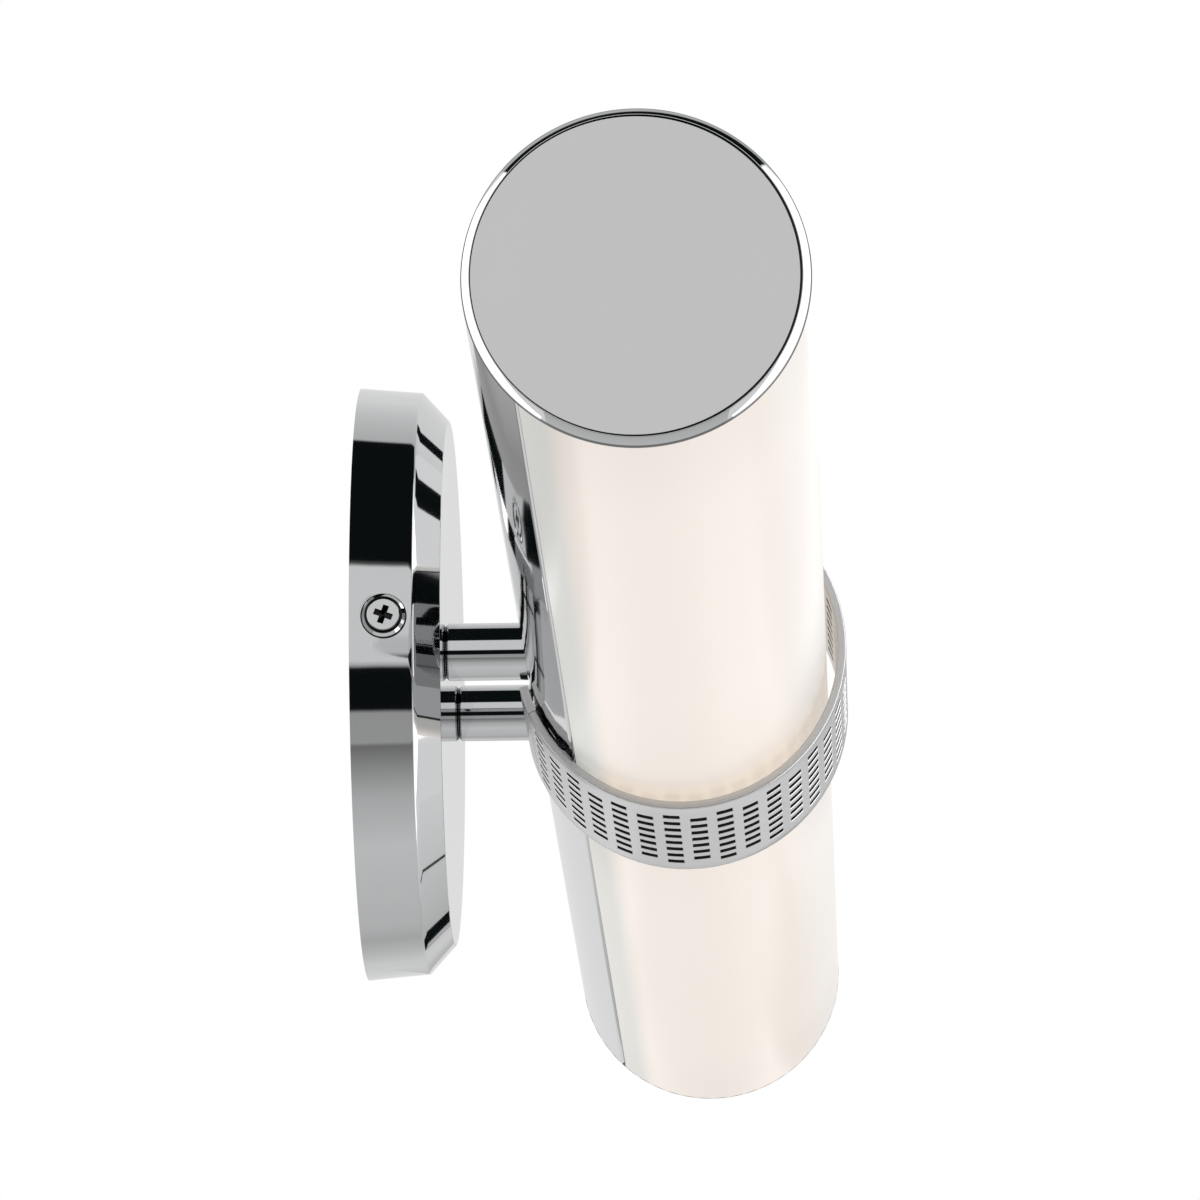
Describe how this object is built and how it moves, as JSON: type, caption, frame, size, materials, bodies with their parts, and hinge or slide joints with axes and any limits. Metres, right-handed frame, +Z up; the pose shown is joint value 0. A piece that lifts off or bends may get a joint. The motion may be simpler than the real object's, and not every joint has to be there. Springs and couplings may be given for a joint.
{
  "type": "vanity light",
  "caption": "Horizontal wall light: an opal tube with a bright metal back and end caps, a perforated centre strap, two short posts and a round wall canopy.",
  "frame": {"origin": "centre of the canopy's open back, on the wall's face, midway between the box screw slots", "axes": "+X along the tube, +Z up, +Y into the wall, so the light stands out towards -Y"},
  "size_m": [0.61, 0.0975, 0.12],
  "materials": {
    "polished_chrome": "polished chrome plate",
    "brushed_end_face": "satin metal face",
    "satin_band": "satin plated strap",
    "opal_acrylic": "opal, glossy",
    "zinc_steel": "zinc plated",
    "ground_green": "green coated screw",
    "tray_aluminium": "mill",
    "board_white": "white solder mask",
    "led_phosphor": "phosphor yellow",
    "driver_case": "moulded case",
    "bushing_black": "moulded nylon"
  },
  "bodies": {
    "light": {"back_housing": "polished_chrome", "band_clip_lower": "satin_band", "band_clip_upper": "satin_band", "board_screws": "zinc_steel", "canopy": "polished_chrome", "canopy_lock_washer_left": "zinc_steel", "canopy_lock_washer_right": "zinc_steel", "canopy_nut_left": "zinc_steel", "canopy_nut_right": "zinc_steel", "center_band": "satin_band", "clip_screws": "zinc_steel", "diffuser": "opal_acrylic", "driver_screws": "zinc_steel", "end_cap_left": "polished_chrome", "end_cap_right": "polished_chrome", "end_cap_screws_left": "zinc_steel", "end_cap_screws_right": "zinc_steel", "end_disc_left": "brushed_end_face", "end_disc_right": "brushed_end_face", "ground_screw": "ground_green", "housing_lock_washer_left": "zinc_steel", "housing_lock_washer_right": "zinc_steel", "housing_nut_left": "zinc_steel", "housing_nut_right": "zinc_steel", "led_board_left": "board_white", "led_board_right": "board_white", "led_chips_left": "led_phosphor", "led_chips_right": "led_phosphor", "led_driver": "driver_case", "led_tray": "tray_aluminium", "nipple_left": "zinc_steel", "nipple_right": "zinc_steel", "post_left": "polished_chrome", "post_right": "polished_chrome", "wall_bracket": "zinc_steel", "wire_bushing_left": "bushing_black", "wire_bushing_right": "bushing_black"},
    "washer_left": {"screw_washer_left": "polished_chrome"},
    "washer_right": {"screw_washer_right": "polished_chrome"},
    "screw_left": {"canopy_screw_left": "polished_chrome"},
    "screw_right": {"canopy_screw_right": "polished_chrome"}
  },
  "joints": [
    {"name": "screw_left_travel", "type": "slide", "parent": "light", "child": "washer_left", "axis": [-1, 0, 0], "range_m": [0, 0.007]},
    {"name": "screw_left_turn", "type": "hinge", "parent": "washer_left", "child": "screw_left", "pos_m": [-0.05985, -0.0068, 0], "axis": [-1, 0, 0], "range_deg": [0, 3601]},
    {"name": "screw_right_travel", "type": "slide", "parent": "light", "child": "washer_right", "axis": [1, 0, 0], "range_m": [0, 0.007]},
    {"name": "screw_right_turn", "type": "hinge", "parent": "washer_right", "child": "screw_right", "pos_m": [0.05985, -0.0068, 0], "axis": [1, 0, 0], "range_deg": [0, 3601]}
  ],
  "couplings": [
    {"joint": "screw_left_turn", "follows": "screw_left_travel", "rad_per_m": 8976},
    {"joint": "screw_right_turn", "follows": "screw_right_travel", "rad_per_m": 8976}
  ]
}
